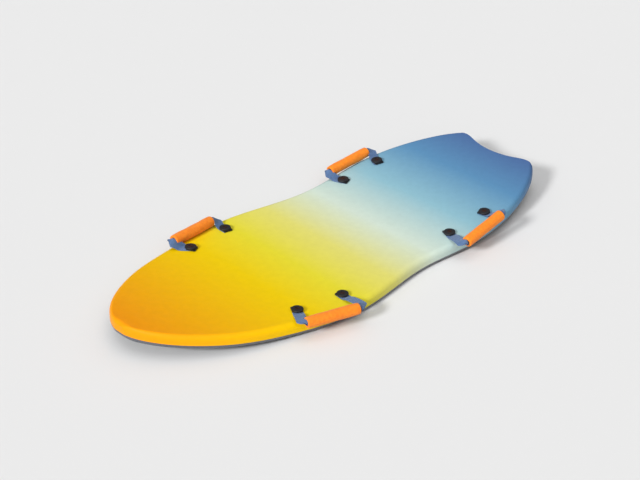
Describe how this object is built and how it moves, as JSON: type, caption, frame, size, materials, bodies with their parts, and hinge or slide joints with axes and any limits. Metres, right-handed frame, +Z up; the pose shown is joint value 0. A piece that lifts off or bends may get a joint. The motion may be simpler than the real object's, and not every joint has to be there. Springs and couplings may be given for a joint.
{
  "type": "two-rider bodyboard",
  "caption": "Foam bodyboard with a notched tail, upturned ends, slick bottom and folding webbing handles with rolling foam grips along both rails.",
  "frame": {"origin": "on the centreline at mid-length, on the flat face of the slick bottom", "axes": "+Z up, +Y towards the notched tail, +X towards the rider's left"},
  "size_m": [0.5429, 1.2181, 0.0839],
  "materials": {
    "foam_core": "white closed-cell bead foam",
    "deck_skin": "soft heat-laminated foam skin, printed lengthwise gradient from orange through yellow and pale mint to blue, fine pebbled grain",
    "slick_bottom": "dark slick polyethylene sheet",
    "webbing": "blue woven polypropylene webbing",
    "grip_foam": "orange foam tube, fine matte cell texture",
    "anchor_plate": "black moulded rubber",
    "anchor_disc": "black moulded plastic",
    "screw": "dark brown-black moulded plastic screw",
    "sleeve": "black moulded plastic"
  },
  "bodies": {
    "board": {"anchor_disc_front_left_nose": "anchor_disc", "anchor_disc_front_left_tail": "anchor_disc", "anchor_disc_front_right_nose": "anchor_disc", "anchor_disc_front_right_tail": "anchor_disc", "anchor_disc_rear_left_nose": "anchor_disc", "anchor_disc_rear_left_tail": "anchor_disc", "anchor_disc_rear_right_nose": "anchor_disc", "anchor_disc_rear_right_tail": "anchor_disc", "anchor_plate_front_left_nose": "anchor_plate", "anchor_plate_front_left_tail": "anchor_plate", "anchor_plate_front_right_nose": "anchor_plate", "anchor_plate_front_right_tail": "anchor_plate", "anchor_plate_rear_left_nose": "anchor_plate", "anchor_plate_rear_left_tail": "anchor_plate", "anchor_plate_rear_right_nose": "anchor_plate", "anchor_plate_rear_right_tail": "anchor_plate", "anchor_screws": "screw", "anchor_sleeves": "sleeve", "deck_skin": "deck_skin", "foam_core": "foam_core", "slick_bottom": "slick_bottom", "strap_tab_front_left_nose": "webbing", "strap_tab_front_left_tail": "webbing", "strap_tab_front_right_nose": "webbing", "strap_tab_front_right_tail": "webbing", "strap_tab_rear_left_nose": "webbing", "strap_tab_rear_left_tail": "webbing", "strap_tab_rear_right_nose": "webbing", "strap_tab_rear_right_tail": "webbing"},
    "handle_front_left": {"strap_loop_front_left": "webbing"},
    "grip_front_left": {"foam_grip_front_left": "grip_foam"},
    "handle_front_right": {"strap_loop_front_right": "webbing"},
    "grip_front_right": {"foam_grip_front_right": "grip_foam"},
    "handle_rear_left": {"strap_loop_rear_left": "webbing"},
    "grip_rear_left": {"foam_grip_rear_left": "grip_foam"},
    "handle_rear_right": {"strap_loop_rear_right": "webbing"},
    "grip_rear_right": {"foam_grip_rear_right": "grip_foam"}
  },
  "joints": [
    {"name": "handle_fold_front_left", "type": "hinge", "parent": "board", "child": "handle_front_left", "pos_m": [0.21279, -0.20222, 0.0393], "axis": [-0.1471, -0.9887, 0.0306], "range_deg": [0, 100]},
    {"name": "handle_fold_front_right", "type": "hinge", "parent": "board", "child": "handle_front_right", "pos_m": [-0.21279, -0.20222, 0.0393], "axis": [-0.1471, 0.9887, -0.0306], "range_deg": [0, 75]},
    {"name": "handle_fold_rear_left", "type": "hinge", "parent": "board", "child": "handle_rear_left", "pos_m": [0.20275, 0.29658, 0.04431], "axis": [-0.0122, -0.9964, -0.0839], "range_deg": [0, 79]},
    {"name": "handle_fold_rear_right", "type": "hinge", "parent": "board", "child": "handle_rear_right", "pos_m": [-0.20275, 0.29658, 0.04431], "axis": [-0.0122, 0.9964, 0.0839], "range_deg": [0, 87]},
    {"name": "grip_roll_front_left", "type": "hinge", "parent": "handle_front_left", "child": "grip_front_left", "pos_m": [0.26097, -0.22431, 0.0476], "axis": [0.2737, 0.9617, -0.0104], "continuous": true},
    {"name": "grip_roll_front_right", "type": "hinge", "parent": "handle_front_right", "child": "grip_front_right", "pos_m": [-0.22934, -0.21745, 0.0519], "axis": [-0.1375, 0.9898, -0.0369], "continuous": true},
    {"name": "grip_roll_rear_left", "type": "hinge", "parent": "handle_rear_left", "child": "grip_rear_left", "pos_m": [0.2475, 0.28467, 0.06012], "axis": [-0.0597, 0.9845, 0.1649], "continuous": true},
    {"name": "grip_roll_rear_right", "type": "hinge", "parent": "handle_rear_right", "child": "grip_rear_right", "pos_m": [-0.22686, 0.29647, 0.05407], "axis": [0.002, 0.9969, 0.0782], "continuous": true}
  ]
}
